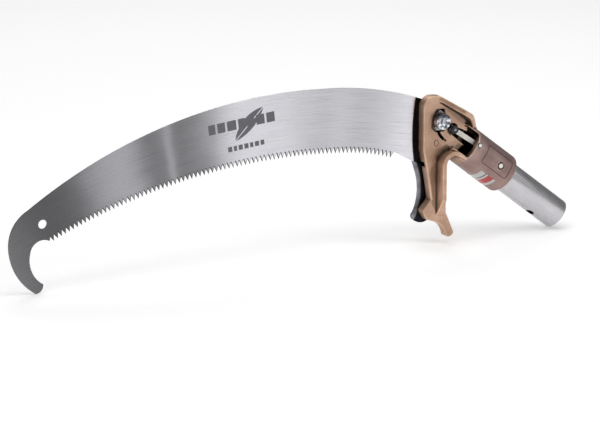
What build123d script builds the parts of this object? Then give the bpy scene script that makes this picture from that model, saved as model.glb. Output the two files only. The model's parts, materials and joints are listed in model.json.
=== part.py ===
from build123d import *
from math import atan2, cos, degrees, hypot, radians, sin, sqrt
import os

# Pole saw head: a curved saw blade with a hooked tip, pivoted on a cast head that ends in a
# socket and a short ferrule tube.  Millimetres.  Origin: centre of the ferrule tube's mouth.
# +Z is up, the blade lies in an XZ plane with its hook towards -X, and the bolt side faces -Y.
# The pole runs down towards +X.

# ---- driving dimensions -------------------------------------------------------------------
POLE_ANGLE = 37.5           # pole axis below the horizontal, degrees
TUBE_SHOWN = 80.0           # tube mouth to the end of the socket
PIVOT_REACH = TUBE_SHOWN + 103.0    # tube mouth to blade pivot, measured along the pole
PIVOT_RISE = 4.4            # blade pivot above the pole axis
BLADE_SET = 5.0             # blade mid-plane behind the pole axis

RUN_GAP = 0.3               # air between the blade and what it swings past
FIT_GAP = 0.05              # radial running fit of a pin in its hole

TUBE_D = 32.0
TUBE_WALL = 1.8
TUBE_GRIP = 45.0            # length held inside the socket
POLE_STOP = TUBE_SHOWN + 8.0            # depth of the bore that takes the pole
STOP_LIP = 0.8
BUTTON_D = 9.0
BUTTON_FROM_MOUTH = 29.5
BUTTON_TURN = radians(15)   # button hole turned from the underside to the near side
SOCKET_WALL = 5.0
RIVET_D = 6.0
RIVET_FROM_MOUTH = TUBE_SHOWN + 20.0
RIVET_RISE = 3.0            # rivet above the pole axis

CUT_LENGTH = 381.0          # toothed length, 15 inches
TOOTH_COUNT = 84
TOOTH_DEPTH = 6.0
BLADE_T = 1.6
CUT_RADIUS = 652.5          # tooth line, main sweep
CUT_HEEL_RADIUS = 247.0     # tooth line, last stretch at the heel
CUT_HEEL_RUN = 58.0         # length of that stretch
CUT_HEEL_FALL = 17.9        # slope of the tooth line at the heel, degrees
HEEL_X, HEEL_Z = -48.5, -36.8   # last tooth, from the pivot
BLADE_MID_H = 62.6          # spine height above the tooth line half way
BLADE_HEEL_H = 66.8         # and towards the heel
TIP_HOLE_D = 9.0

BOLT_D = 10.0
BOLT_AF = 1.6 * BOLT_D
BOLT_HEAD = 6.4
BUSH_WALL = 1.5
NUT_T = 8.0

LATCH_X, LATCH_Z = 15.2, -10.4  # latch pin, from the pivot
LATCH_D = 5.0
LATCH_TRAVEL = 3.5
KNOB_D = 8.6
KNOB_T = 3.2
SWING = 45.0                # blade travel, from hooked to in line with the pole

WEB_NEAR = 12.5             # near face of the head's web, from the blade mid-plane
WEB_T = 4.0
WALL_T = 4.4
ARCH_R = 14.0               # inside radius where the arm turns into the socket
ARM_DROP = 105.0            # pivot to the foot of the arm
KNIFE_T = 3.0
STRIP_W = 5.0
STRIP_T = 0.8
STRIP_RIVET_D = 4.0
STRIP_RIVET_FROM_MOUTH = TUBE_SHOWN + 54.0
PLATE_T = 1.6
WASHER_T = 1.6
INSERT_T = 2.2
PIVOT_BOSS_R = BOLT_AF / 2 + 3.0
LATCH_BOSS_R = 7.5
LATCH_HOLE_R = 5.8
LATCH_FLOOR = 6.0           # floor of the latch hole
POCKET_FLOOR = 7.5          # floor of the pocket beside the bolt
KNOB_BACK = 14.0            # underside of the latch knob
NECK_L = 2.0                # neck of the pin between its shoulder and the knob
PIN_NECK_R = 1.5
STRIP_DEPTH = BLADE_SET + TUBE_D / 2 - 6.0  # near face of the spring where it is riveted
STRIP_RIVET_RISE = 7.0
RIVET_SINK = 2.5
RIVET_HEAD_R = 3.4
SCREW_D = 5.0
SCREW_GRIP = 9.0
SCREW_HEAD = 2.4
SCREW_PLACES = [(-6.0, -62.0), (-3.5, -92.0)]
LABEL_FROM_MOUTH = TUBE_SHOWN + 14.0
LABEL_W = 21.0
LABEL_T = 0.2
LABEL_NEAR = 36.0           # the label's edges, in degrees round from the near side
LABEL_FAR = 105.0

# ---- places worked out from them ------------------------------------------------------------
COS_P = cos(radians(POLE_ANGLE))
SIN_P = sin(radians(POLE_ANGLE))
PIVOT_X = -PIVOT_REACH * COS_P + PIVOT_RISE * SIN_P
PIVOT_Z = PIVOT_REACH * SIN_P + PIVOT_RISE * COS_P
TUBE_R = TUBE_D / 2
BORE_R = TUBE_R + FIT_GAP
SOCKET_R = TUBE_R + SOCKET_WALL
RIM_NEAR = BLADE_SET + SOCKET_R     # the rims end level with the socket's near side
BLADE_HALF = BLADE_T / 2
WALL_BACK = BLADE_HALF + RUN_GAP    # where the casting stops short of the blade
WEB_BACK = WEB_NEAR - WEB_T
BUSH_R = BOLT_D / 2 + BUSH_WALL
LATCH_REACH = hypot(LATCH_X, LATCH_Z)
SLOT_HALF = LATCH_D / 2 + FIT_GAP
TANG_R = LATCH_REACH + SLOT_HALF + 4.5
SOCKET_TOP = PIVOT_REACH - TANG_R - 1.2
TUBE_TOP = TUBE_SHOWN + TUBE_GRIP
BOLT_END = -WALL_BACK - KNIFE_T - WASHER_T - NUT_T - 1.5
MOUTH_EDGE = TUBE_TOP + 12.5        # where the socket's near wall is cut away
SPRING_RIVET_SEAT = BLADE_SET + sqrt(SOCKET_R**2 - STRIP_RIVET_RISE**2) - 0.8


def facing(depth):
    """Sketch plane facing -Y, with its origin on the pivot axis, depth in front of the blade."""
    return Plane(origin=(PIVOT_X, BLADE_SET - depth, PIVOT_Z), x_dir=(1, 0, 0), z_dir=(0, -1, 0))


def across_pole(distance):
    """Plane square to the pole, distance up from the tube's mouth; its normal points up the pole."""
    return Plane(
        origin=(-distance * COS_P, 0, distance * SIN_P),
        x_dir=(0, -1, 0),
        z_dir=(-COS_P, 0, SIN_P),
    )


def pole_point(distance, rise):
    """Point given along and above the pole axis, in the pivot's own x and z."""
    return (
        -distance * COS_P + rise * SIN_P - PIVOT_X,
        distance * SIN_P + rise * COS_P - PIVOT_Z,
    )


def tooth_line(s):
    """Point on the tooth tips s from the heel, and the unit normal towards the spine."""
    fall = radians(CUT_HEEL_FALL)
    centre_x = HEEL_X - CUT_HEEL_RADIUS * sin(fall)
    centre_z = HEEL_Z - CUT_HEEL_RADIUS * cos(fall)
    if s <= CUT_HEEL_RUN:
        turn = fall - s / CUT_HEEL_RADIUS
        radius = CUT_HEEL_RADIUS
    else:
        joint = fall - CUT_HEEL_RUN / CUT_HEEL_RADIUS
        turn = joint - (s - CUT_HEEL_RUN) / CUT_RADIUS
        radius = CUT_RADIUS
        centre_x += (CUT_HEEL_RADIUS - CUT_RADIUS) * sin(joint)
        centre_z += (CUT_HEEL_RADIUS - CUT_RADIUS) * cos(joint)
    normal = Vector(sin(turn), cos(turn))
    return Vector(centre_x, centre_z) + normal * radius, normal


def above_teeth(s, height):
    point, normal = tooth_line(s)
    return point + normal * height


def at_tip(beyond, height):
    """Point beyond the last tooth towards the tip, and above the tooth line."""
    point, normal = tooth_line(CUT_LENGTH)
    forward = Vector(-normal.Y, normal.X)
    return point + forward * beyond + normal * height


def edge_on(x, z, angle):
    """Plane through (x, z) with its x along angle in the blade's plane and its y towards -Y."""
    c = cos(radians(angle))
    s = sin(radians(angle))
    return Plane(
        origin=(PIVOT_X + x, BLADE_SET, PIVOT_Z + z), x_dir=(c, 0, s), z_dir=(s, 0, -c)
    )


def write(part, name):
    part.label = name
    export_step(part, "parts/" + name + ".step")


os.makedirs("parts", exist_ok=True)

# ---- blade: curved plate, one row of teeth, hooked tip, round tang ------------------------------
PITCH = CUT_LENGTH / TOOTH_COUNT
teeth = []
for i in range(TOOTH_COUNT):
    teeth.append(above_teeth(i * PITCH, TOOTH_DEPTH))
    teeth.append(above_teeth((i + 0.5) * PITCH, 0))
teeth.append(above_teeth(CUT_LENGTH, TOOTH_DEPTH))

HEEL_S = 0.22 * CUT_LENGTH
MID_S = 0.56 * CUT_LENGTH
TANG_TOP = radians(32)      # the round of the tang, from the pivot
TANG_FOOT = radians(-58)
heel_top = above_teeth(HEEL_S, BLADE_HEEL_H)
tang_start = (TANG_R * cos(TANG_TOP), TANG_R * sin(TANG_TOP))
tang_end = (TANG_R * cos(TANG_FOOT), TANG_R * sin(TANG_FOOT))
spine_end = (-10.0, 19.8)
latch_turn = degrees(atan2(LATCH_Z, LATCH_X))

with BuildPart() as blade:
    with BuildSketch(facing(-BLADE_HALF)):
        with BuildLine():
            Polyline(*teeth)
            Line(teeth[-1], at_tip(2.0, 2.6))
            ThreePointArc(at_tip(2.0, 2.6), at_tip(13.0, 8.2), at_tip(25.0, 1.3))
            ThreePointArc(at_tip(25.0, 1.3), at_tip(31.0, -13.5), at_tip(26.1, -32.9))
            ThreePointArc(at_tip(26.1, -32.9), at_tip(29.9, -37.4), at_tip(37.0, -37.7))
            ThreePointArc(at_tip(37.0, -37.7), at_tip(45.4, -18.1), at_tip(42.2, 17.6))
            ThreePointArc(at_tip(42.2, 17.6), at_tip(30.0, 33.3), at_tip(8.9, 41.1))
            ThreePointArc(at_tip(8.9, 41.1), above_teeth(MID_S, BLADE_MID_H), heel_top)
            ThreePointArc(heel_top, ((heel_top.X + spine_end[0]) / 2, 36.6), spine_end)
            Line(spine_end, tang_start)
            ThreePointArc(tang_start, (TANG_R, 0), tang_end)
            Polyline(tang_end, (-17.0, -45.0), (-26.0, -41.6), teeth[0])
        make_face()
        with Locations((0, 0)):
            Circle(BUSH_R + FIT_GAP, mode=Mode.SUBTRACT)
        with Locations(at_tip(1.4, 21.4)):
            Circle(TIP_HOLE_D / 2, mode=Mode.SUBTRACT)
        with PolarLocations(LATCH_REACH, 2, latch_turn, SWING, endpoint=True):
            Circle(SLOT_HALF, mode=Mode.SUBTRACT)
        with BuildLine():
            CenterArc((0, 0), LATCH_REACH - SLOT_HALF, latch_turn, SWING)
            CenterArc((0, 0), LATCH_REACH + SLOT_HALF, latch_turn, SWING)
            for turn in (latch_turn, latch_turn + SWING):
                c = cos(radians(turn))
                s = sin(radians(turn))
                inner = LATCH_REACH - SLOT_HALF
                outer = LATCH_REACH + SLOT_HALF
                Line((inner * c, inner * s), (outer * c, outer * s))
        make_face(mode=Mode.SUBTRACT)
    extrude(amount=BLADE_T)
write(blade.part, "blade")

# ---- head casting: open tray with rims, an arm with a foot, and the socket ----------------------
ARM_LEFT = -18.5
ARM_RIGHT = 1.4
RIM_IN = ARM_RIGHT - WALL_T
ARCH_Z = -45.0
ARCH_X = RIM_IN + ARCH_R
ARCH_OUT = ARCH_R - WALL_T
arch_leave = (ARCH_X + ARCH_R * SIN_P, ARCH_Z + ARCH_R * COS_P)
arch_leave_out = (ARCH_X + ARCH_OUT * SIN_P, ARCH_Z + ARCH_OUT * COS_P)
arch_side = (ARCH_X - ARCH_R * COS_P, ARCH_Z + ARCH_R * SIN_P)
arch_side_out = (ARCH_X - ARCH_OUT * COS_P, ARCH_Z + ARCH_OUT * SIN_P)
ARCH_RISE = arch_leave[0] * SIN_P + arch_leave[1] * COS_P + PIVOT_RISE
ARCH_REACH = PIVOT_REACH - arch_leave[0] * COS_P + arch_leave[1] * SIN_P
ARCH_SEAT = BLADE_SET + sqrt(SOCKET_R**2 - ARCH_RISE**2)
TOP_X, TOP_Z = 1.0, 24.9    # where the head's top edge starts to fall
KNEE_X, KNEE_Z = 30.5, 6.0  # where it turns down to the socket
TOP_RISE = SOCKET_R - WALL_T
RIM_DIP = BLADE_SET + 4.5   # near edge of the top rim where it reaches the socket
TOP_FALL = degrees(atan2(KNEE_Z - TOP_Z, KNEE_X - TOP_X))
TOP_RUN = hypot(KNEE_X - TOP_X, KNEE_Z - TOP_Z)
CORNER_R = 11.0
WEB_END = 32.0
SKIRT_T = 3.5
CLEAR = 10.0                # how far cutting shapes run past the metal
FOOT_Z = -ARM_DROP
PAD_Z = -54.0               # top of the pad that carries the knife
up_pole = Axis((0, 0, 0), (-COS_P, 0, SIN_P))


def head_outline():
    """Outline of the web, the arm and its foot, drawn into the current line."""
    Line((ARM_LEFT, -30), (ARM_LEFT, TOP_Z - CORNER_R))
    ThreePointArc(
        (ARM_LEFT, TOP_Z - CORNER_R),
        (ARM_LEFT + 0.3 * CORNER_R, TOP_Z - 0.25 * CORNER_R),
        (ARM_LEFT + CORNER_R, TOP_Z + 0.7),
    )
    Polyline(
        (ARM_LEFT + CORNER_R, TOP_Z + 0.7),
        (TOP_X, TOP_Z),
        (KNEE_X, KNEE_Z),
        (WEB_END + 1.2, -9.0),
        (WEB_END - 3.0, -28.0),
        arch_leave,
    )
    ThreePointArc(arch_leave, arch_side, (RIM_IN, ARCH_Z))
    Polyline(
        (RIM_IN, ARCH_Z),
        (RIM_IN + 1, FOOT_Z + 24),
        (9.0, FOOT_Z + 6.5),
        (17.6, FOOT_Z - 13.5),
    )
    ThreePointArc((17.6, FOOT_Z - 13.5), (14.8, FOOT_Z - 17.3), (8.6, FOOT_Z - 17.0))
    ThreePointArc((8.6, FOOT_Z - 17.0), (3.6, FOOT_Z - 6.0), (-4.5, FOOT_Z - 0.6))
    Polyline(
        (-4.5, FOOT_Z - 0.6),
        (-13.8, FOOT_Z + 2.6),
        (-17.6, FOOT_Z + 8.6),
        (-18.4, FOOT_Z + 12.6),
        (-13.0, FOOT_Z + 18.6),
        (-9.2, FOOT_Z + 23.0),
    )
    ThreePointArc((-9.2, FOOT_Z + 23.0), (-13.2, -56.0), (ARM_LEFT, -30))


with BuildPart() as socket:
    with BuildSketch(across_pole(TUBE_SHOWN)):
        Circle(SOCKET_R)
    extrude(amount=SOCKET_TOP - TUBE_SHOWN)
    fillet(socket.edges().group_by(up_pole)[0], 3.0)
    chamfer(socket.edges().group_by(up_pole)[-1], 2.5)

rim_end = pole_point(MOUTH_EDGE + 0.5, SOCKET_R - 0.4)
knee_fall = degrees(atan2(rim_end[1] - KNEE_Z, rim_end[0] - KNEE_X))
knee_run = hypot(rim_end[0] - KNEE_X, rim_end[1] - KNEE_Z)

with BuildPart() as head:
    # top rim, over the knee and down onto the socket
    with BuildSketch(facing(WALL_BACK)):
        with BuildLine():
            Polyline(
                (TOP_X, TOP_Z),
                (KNEE_X, KNEE_Z),
                rim_end,
                pole_point(MOUTH_EDGE - 8.0, SOCKET_R - 2.0),
                pole_point(MOUTH_EDGE - 8.0, TOP_RISE),
                pole_point(MOUTH_EDGE, TOP_RISE),
                (KNEE_X - 3.6, KNEE_Z - 3.8),
                (TOP_X - 2.6, TOP_Z - WALL_T),
                close=True,
            )
        make_face()
    extrude(amount=RIM_NEAR - WALL_BACK)
    # its near edge climbs from the web to full height at the knee, then dips to the socket
    with BuildSketch(edge_on(TOP_X, TOP_Z, TOP_FALL)):
        with BuildLine():
            Polyline(
                (-CLEAR, WEB_NEAR),
                (0, WEB_NEAR),
                (0.75 * TOP_RUN, RIM_NEAR),
                (0.75 * TOP_RUN, RIM_NEAR + CLEAR),
                (-CLEAR, RIM_NEAR + CLEAR),
                close=True,
            )
        make_face()
    extrude(amount=CLEAR, both=True, mode=Mode.SUBTRACT)
    with BuildSketch(edge_on(KNEE_X, KNEE_Z, knee_fall)):
        with BuildLine():
            Polyline(
                (0.15 * knee_run, RIM_NEAR),
                (knee_run, RIM_DIP),
                (knee_run + CLEAR, RIM_DIP - CLEAR),
                (knee_run + CLEAR, RIM_NEAR + CLEAR),
                (0.15 * knee_run, RIM_NEAR + CLEAR),
                close=True,
            )
        make_face()
    extrude(amount=CLEAR, both=True, mode=Mode.SUBTRACT)

    # rim of the arm and of the arch that joins it to the socket
    with BuildSketch(facing(WALL_BACK)):
        with BuildLine():
            Line((RIM_IN, FOOT_Z + 5), (RIM_IN, ARCH_Z))
            ThreePointArc((RIM_IN, ARCH_Z), arch_side, arch_leave)
            Polyline(
                arch_leave,
                pole_point(MOUTH_EDGE - 8.0, ARCH_RISE - 0.5),
                pole_point(MOUTH_EDGE - 8.0, ARCH_RISE - 1.5),
                arch_leave_out,
            )
            ThreePointArc(arch_leave_out, arch_side_out, (ARM_RIGHT, ARCH_Z))
            Polyline(
                (ARM_RIGHT, ARCH_Z),
                (ARM_RIGHT, FOOT_Z + 22),
                (9.0, FOOT_Z + 5),
                (RIM_IN, FOOT_Z + 5),
            )
        make_face()
    extrude(amount=RIM_NEAR - WALL_BACK)
    with BuildSketch(edge_on(ARM_RIGHT, 0, -90)):
        with BuildLine():
            Polyline(
                (ARM_DROP - 24, RIM_NEAR),
                (ARM_DROP - 6, WEB_NEAR),
                (ARM_DROP + CLEAR, WEB_NEAR),
                (ARM_DROP + CLEAR, RIM_NEAR + CLEAR),
                (ARM_DROP - 24, RIM_NEAR + CLEAR),
                close=True,
            )
        make_face()
    extrude(amount=2 * CLEAR, both=True, mode=Mode.SUBTRACT)
    with BuildSketch(edge_on(*pole_point(MOUTH_EDGE, ARCH_RISE), 180 - POLE_ANGLE)):
        with BuildLine():
            Polyline(
                (-CLEAR, ARCH_SEAT - 6.0),
                (0, ARCH_SEAT),
                (ARCH_REACH - MOUTH_EDGE + 6.0, RIM_NEAR),
                (ARCH_REACH - MOUTH_EDGE + 6.0, RIM_NEAR + CLEAR),
                (-CLEAR, RIM_NEAR + CLEAR),
                close=True,
            )
        make_face()
    extrude(amount=WALL_T + 2, both=True, mode=Mode.SUBTRACT)

    # socket, its mouth cut away between the rims, and the bore with its stop for the tube
    add(socket.part)
    with BuildSketch(facing(BLADE_SET)):
        with BuildLine():
            Polyline(
                pole_point(MOUTH_EDGE, ARCH_RISE),
                pole_point(SOCKET_TOP + CLEAR, ARCH_RISE),
                pole_point(SOCKET_TOP + CLEAR, TOP_RISE),
                pole_point(MOUTH_EDGE, TOP_RISE),
                close=True,
            )
        make_face()
    extrude(amount=RIM_NEAR, mode=Mode.SUBTRACT)
    with BuildSketch(across_pole(TUBE_SHOWN)):
        Circle(BORE_R)
    extrude(amount=TUBE_GRIP, mode=Mode.SUBTRACT)
    with BuildSketch(across_pole(TUBE_TOP)):
        Circle(TUBE_R - TUBE_WALL)
    extrude(amount=SOCKET_TOP - TUBE_TOP - SKIRT_T, mode=Mode.SUBTRACT)

    # web, and the walls that run back from it to the blade
    with BuildSketch(facing(WALL_BACK)):
        with BuildLine():
            head_outline()
        make_face()
    extrude(amount=WEB_NEAR - WALL_BACK)
    with BuildSketch(facing(WALL_BACK)):
        with BuildLine():
            Polyline(
                (ARM_LEFT + SKIRT_T, PAD_Z + 6),
                (ARM_LEFT + SKIRT_T, TOP_Z - CORNER_R),
                (ARM_LEFT + CORNER_R, TOP_Z - SKIRT_T),
                (TOP_X - 2.6, TOP_Z - WALL_T),
                (KNEE_X - 3.6, KNEE_Z - 3.8),
                (WEB_END + 3.0, -9.0),
                pole_point(SOCKET_TOP - 6.0, ARCH_RISE + 1.0),
                (ARCH_X, ARCH_Z + ARCH_R + 0.5),
                (RIM_IN + 0.5, ARCH_Z),
                (RIM_IN - 1.5, PAD_Z + 6),
                close=True,
            )
        make_face()
    extrude(amount=WEB_BACK - WALL_BACK, mode=Mode.SUBTRACT)
    with BuildSketch(facing(WALL_BACK)):
        Circle(PIVOT_BOSS_R)
        with Locations((LATCH_X, LATCH_Z)):
            Circle(LATCH_BOSS_R)
    extrude(amount=WEB_BACK - WALL_BACK)

    # pad at the back of the arm, down to the knife
    with BuildSketch(facing(-WALL_BACK)):
        with BuildLine():
            Polyline(
                (-12.0, PAD_Z),
                (ARM_RIGHT - 1.0, PAD_Z),
                (ARM_RIGHT - 1.0, FOOT_Z + 22),
                (6.0, FOOT_Z + 6),
                (0.0, FOOT_Z + 2),
                (-11.0, FOOT_Z + 5),
                (-13.0, FOOT_Z + 11),
                (-6.5, FOOT_Z + 24),
                close=True,
            )
        make_face()
    extrude(amount=2 * WALL_BACK)

    # pivot bore, latch hole with its guide, slot for the leaf spring
    with BuildSketch(facing(WALL_BACK)):
        Circle(BUSH_R + FIT_GAP)
        with Locations((LATCH_X, LATCH_Z)):
            Circle(LATCH_D / 2 + FIT_GAP)
    extrude(amount=WEB_NEAR, mode=Mode.SUBTRACT)
    with BuildSketch(facing(LATCH_FLOOR)):
        with Locations((LATCH_X, LATCH_Z)):
            Circle(LATCH_HOLE_R)
        with BuildLine():
            Polyline(
                (LATCH_X - 1.0, LATCH_Z - LATCH_HOLE_R),
                (LATCH_X + 4.5, LATCH_Z + 1.5),
                (WEB_END + 6.0, -18.0),
                (WEB_END + 6.0, -36.5),
                close=True,
            )
        make_face()
    extrude(amount=WEB_NEAR, mode=Mode.SUBTRACT)

    # pocket beside the bolt, and the curved slit that runs on from it under the latch
    slit_head = (LATCH_X - 15.4, LATCH_Z - 0.6)
    slit_head_out = (LATCH_X - 18.2, LATCH_Z - 0.4)
    slit_tail = (LATCH_X - 4.6, LATCH_Z - 13.4)
    with BuildSketch(facing(POCKET_FLOOR)):
        with BuildLine():
            Polyline(
                (-3.7, 11.6),
                (-7.8, 4.5),
                (-9.7, -6.7),
                (-3.8, -11.7),
                (5.5, -11.7),
                (5.5, 11.6),
                close=True,
            )
        make_face()
        with BuildLine():
            ThreePointArc(slit_head, (LATCH_X - 10.4, LATCH_Z - 8.0), slit_tail)
            ThreePointArc(slit_tail, (LATCH_X - 12.6, LATCH_Z - 9.6), slit_head_out)
            Line(slit_head_out, slit_head)
        make_face()
    extrude(amount=WEB_NEAR, mode=Mode.SUBTRACT)

    # rivet holes in the socket, screw holes in the arm, pad for the spring's fixed end
    with BuildSketch(facing(BLADE_SET - SOCKET_R)):
        with Locations(pole_point(RIVET_FROM_MOUTH, RIVET_RISE)):
            Circle(RIVET_D / 2)
    extrude(amount=2 * SOCKET_R, mode=Mode.SUBTRACT)
    with BuildSketch(facing(RIM_NEAR - RIVET_SINK), facing(BLADE_SET - SOCKET_R - CLEAR + RIVET_SINK)):
        with Locations(pole_point(RIVET_FROM_MOUTH, RIVET_RISE)):
            Circle(RIVET_HEAD_R + 0.6)
    extrude(amount=CLEAR, mode=Mode.SUBTRACT)
    with BuildSketch(facing(STRIP_DEPTH)):
        with Locations(pole_point(STRIP_RIVET_FROM_MOUTH, STRIP_RIVET_RISE)):
            Circle(STRIP_RIVET_D / 2 + 1.2)
    extrude(amount=BLADE_SET + TUBE_R - STRIP_DEPTH)
    with BuildSketch(facing(STRIP_DEPTH)):
        with Locations(pole_point(STRIP_RIVET_FROM_MOUTH, STRIP_RIVET_RISE)):
            Circle(STRIP_RIVET_D / 2)
    extrude(amount=CLEAR, mode=Mode.SUBTRACT)
    with BuildSketch(facing(SPRING_RIVET_SEAT)):
        with Locations(pole_point(STRIP_RIVET_FROM_MOUTH, STRIP_RIVET_RISE)):
            Circle(STRIP_RIVET_D / 2 + 1.3)
    extrude(amount=CLEAR, mode=Mode.SUBTRACT)
    with BuildSketch(facing(-WALL_BACK)):
        with Locations(*SCREW_PLACES):
            Circle(SCREW_D / 2)
    extrude(amount=SCREW_GRIP, mode=Mode.SUBTRACT)
write(head.part, "head_casting")

# ---- undercut knife: steel plate behind the blade, with a concave edge and a rounded toe --------
with BuildPart() as knife:
    with BuildSketch(facing(-WALL_BACK - KNIFE_T)):
        with BuildLine():
            ThreePointArc((-9.0, 9.5), (9.0, 9.5), (10.0, -9.0))
            Polyline((10.0, -9.0), (2.0, -30.0), (-2.0, -52.0), (1.0, FOOT_Z + 6), (-4.0, FOOT_Z + 0.5))
            ThreePointArc((-4.0, FOOT_Z + 0.5), (-14.0, FOOT_Z - 3.0), (-22.0, FOOT_Z + 0.5))
            ThreePointArc((-22.0, FOOT_Z + 0.5), (-24.6, FOOT_Z + 4.0), (-22.5, FOOT_Z + 8.5))
            ThreePointArc((-22.5, FOOT_Z + 8.5), (-17.2, FOOT_Z + 30.0), (-20.4, FOOT_Z + 52.0))
            Polyline((-20.4, FOOT_Z + 52.0), (-24.0, -42.0), (-9.0, 9.5))
        make_face()
        Circle(BOLT_D / 2 + FIT_GAP, mode=Mode.SUBTRACT)
        with Locations(*SCREW_PLACES):
            Circle(SCREW_D / 2, mode=Mode.SUBTRACT)
    extrude(amount=KNIFE_T)
write(knife.part, "undercut_knife")

with BuildPart() as screws:
    with BuildSketch(facing(-WALL_BACK - KNIFE_T)):
        with Locations(*SCREW_PLACES):
            Circle(SCREW_D / 2)
    extrude(amount=KNIFE_T + SCREW_GRIP - 1.0)
    with BuildSketch(facing(-WALL_BACK - KNIFE_T - SCREW_HEAD)):
        with Locations(*SCREW_PLACES):
            Circle(SCREW_D)
    extrude(amount=SCREW_HEAD)
    fillet(screws.edges().group_by(Axis.Y)[-1], 0.9)
    with BuildSketch(facing(-WALL_BACK - KNIFE_T - SCREW_HEAD)):
        with Locations(*SCREW_PLACES):
            RegularPolygon(SCREW_D / 3, 6)
    extrude(amount=SCREW_HEAD * 0.6, mode=Mode.SUBTRACT)
write(screws.part, "knife_screws")

# ---- pivot: bush, bolt, lock plate, washer and lock nut -------------------------------------------
with BuildPart() as bush:
    with BuildSketch(facing(-WALL_BACK)):
        Circle(BUSH_R)
        Circle(BOLT_D / 2 + FIT_GAP, mode=Mode.SUBTRACT)
    extrude(amount=WEB_NEAR + WALL_BACK)
write(bush.part, "pivot_bush")

PLATE_NEAR = WEB_NEAR + PLATE_T
WASHER_BACK = -WALL_BACK - KNIFE_T - WASHER_T
with BuildPart() as plate:
    with BuildSketch(facing(WEB_NEAR)):
        with BuildLine():
            Polyline(
                (-1.8, 11.0),
                (0.4, 10.6),
                (7.0, 5.0),
                (7.0, -5.0),
                (1.0, -9.6),
                (-5.2, -9.6),
                (-7.0, -7.0),
                (-4.6, 3.0),
                close=True,
            )
        make_face()
        Circle(BOLT_D / 2 + FIT_GAP, mode=Mode.SUBTRACT)
    extrude(amount=PLATE_T)
write(plate.part, "lock_plate")

with BuildPart() as bolt:
    with BuildSketch(facing(PLATE_NEAR)):
        RegularPolygon(BOLT_AF / 2, 6, major_radius=False, rotation=30)
    extrude(amount=BOLT_HEAD)
    with BuildSketch(facing(PLATE_NEAR)):
        Circle(BOLT_AF / 2 + 0.9)
    extrude(amount=BOLT_HEAD, taper=5, mode=Mode.INTERSECT)
    with BuildSketch(facing(BOLT_END)):
        Circle(BOLT_D / 2)
    extrude(amount=PLATE_NEAR - BOLT_END)
    chamfer(bolt.edges().group_by(Axis.Y)[-1], 0.8)
write(bolt.part, "pivot_bolt")

with BuildPart() as washer:
    with BuildSketch(facing(WASHER_BACK)):
        Circle(BOLT_D)
        Circle(BOLT_D / 2 + 0.25, mode=Mode.SUBTRACT)
    extrude(amount=WASHER_T)
write(washer.part, "back_washer")

with BuildPart() as nut:
    with BuildSketch(facing(WASHER_BACK - NUT_T + INSERT_T)):
        RegularPolygon(BOLT_AF / 2, 6, major_radius=False, rotation=30)
    extrude(amount=NUT_T - INSERT_T)
    with BuildSketch(facing(WASHER_BACK - NUT_T)):
        Circle(BOLT_AF / 2 - 0.8)
    extrude(amount=INSERT_T)
    with BuildSketch(facing(WASHER_BACK - NUT_T)):
        Circle(BOLT_AF / 2 - 2.0)
    extrude(amount=INSERT_T, mode=Mode.SUBTRACT)
    with BuildSketch(facing(WASHER_BACK - NUT_T)):
        Circle(BOLT_D / 2)
    extrude(amount=NUT_T, mode=Mode.SUBTRACT)
write(nut.part, "lock_nut")

with BuildPart() as insert:
    with BuildSketch(facing(WASHER_BACK - NUT_T + 0.4)):
        Circle(BOLT_AF / 2 - 2.0)
        Circle(BOLT_D / 2, mode=Mode.SUBTRACT)
    extrude(amount=INSERT_T - 0.4)
write(insert.part, "nut_insert")

# ---- spring latch: pin, knob, leaf spring and its rivet ---------------------------------------------
with BuildPart() as pin:
    with BuildSketch(facing(-BLADE_HALF)):
        with Locations((LATCH_X, LATCH_Z)):
            Circle(LATCH_D / 2)
    extrude(amount=KNOB_BACK - NECK_L + BLADE_HALF)
    with BuildSketch(facing(KNOB_BACK - NECK_L)):
        with Locations((LATCH_X, LATCH_Z)):
            Circle(PIN_NECK_R)
    extrude(amount=NECK_L + KNOB_T + 0.5)
    chamfer(pin.edges().group_by(Axis.Y)[-1], 0.5)
write(pin.part, "latch_pin")

with BuildPart() as knob:
    with BuildSketch(facing(KNOB_BACK)):
        with Locations((LATCH_X, LATCH_Z)):
            Circle(KNOB_D / 2)
            Circle(PIN_NECK_R, mode=Mode.SUBTRACT)
    extrude(amount=KNOB_T)
    fillet(knob.edges().group_by(Axis.Y)[0].sort_by(SortBy.LENGTH)[-1], 0.9)
write(knob.part, "latch_knob")

strip_root = pole_point(STRIP_RIVET_FROM_MOUTH, STRIP_RIVET_RISE)
strip_run = hypot(strip_root[0] - LATCH_X, strip_root[1] - LATCH_Z)
strip_turn = degrees(atan2(strip_root[1] - LATCH_Z, strip_root[0] - LATCH_X))
strip_free = KNOB_BACK - 0.3
with BuildPart() as strip:
    with BuildSketch(edge_on(LATCH_X, LATCH_Z, strip_turn)):
        with BuildLine():
            Polyline(
                (-STRIP_W / 2 - 1.0, strip_free),
                (4.0, strip_free),
                (strip_run - 4.0, STRIP_DEPTH),
                (strip_run + 4.0, STRIP_DEPTH),
                (strip_run + 4.0, STRIP_DEPTH - STRIP_T),
                (strip_run - 4.0, STRIP_DEPTH - STRIP_T),
                (4.0, strip_free - STRIP_T),
                (-STRIP_W / 2 - 1.0, strip_free - STRIP_T),
                close=True,
            )
        make_face()
    extrude(amount=STRIP_W / 2, both=True)
    with BuildSketch(facing(0)):
        with Locations((LATCH_X, LATCH_Z)):
            Circle(PIN_NECK_R + 0.3)
        with Locations(strip_root):
            Circle(STRIP_RIVET_D / 2)
    extrude(amount=RIM_NEAR, mode=Mode.SUBTRACT)
write(strip.part, "leaf_spring")

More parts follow.
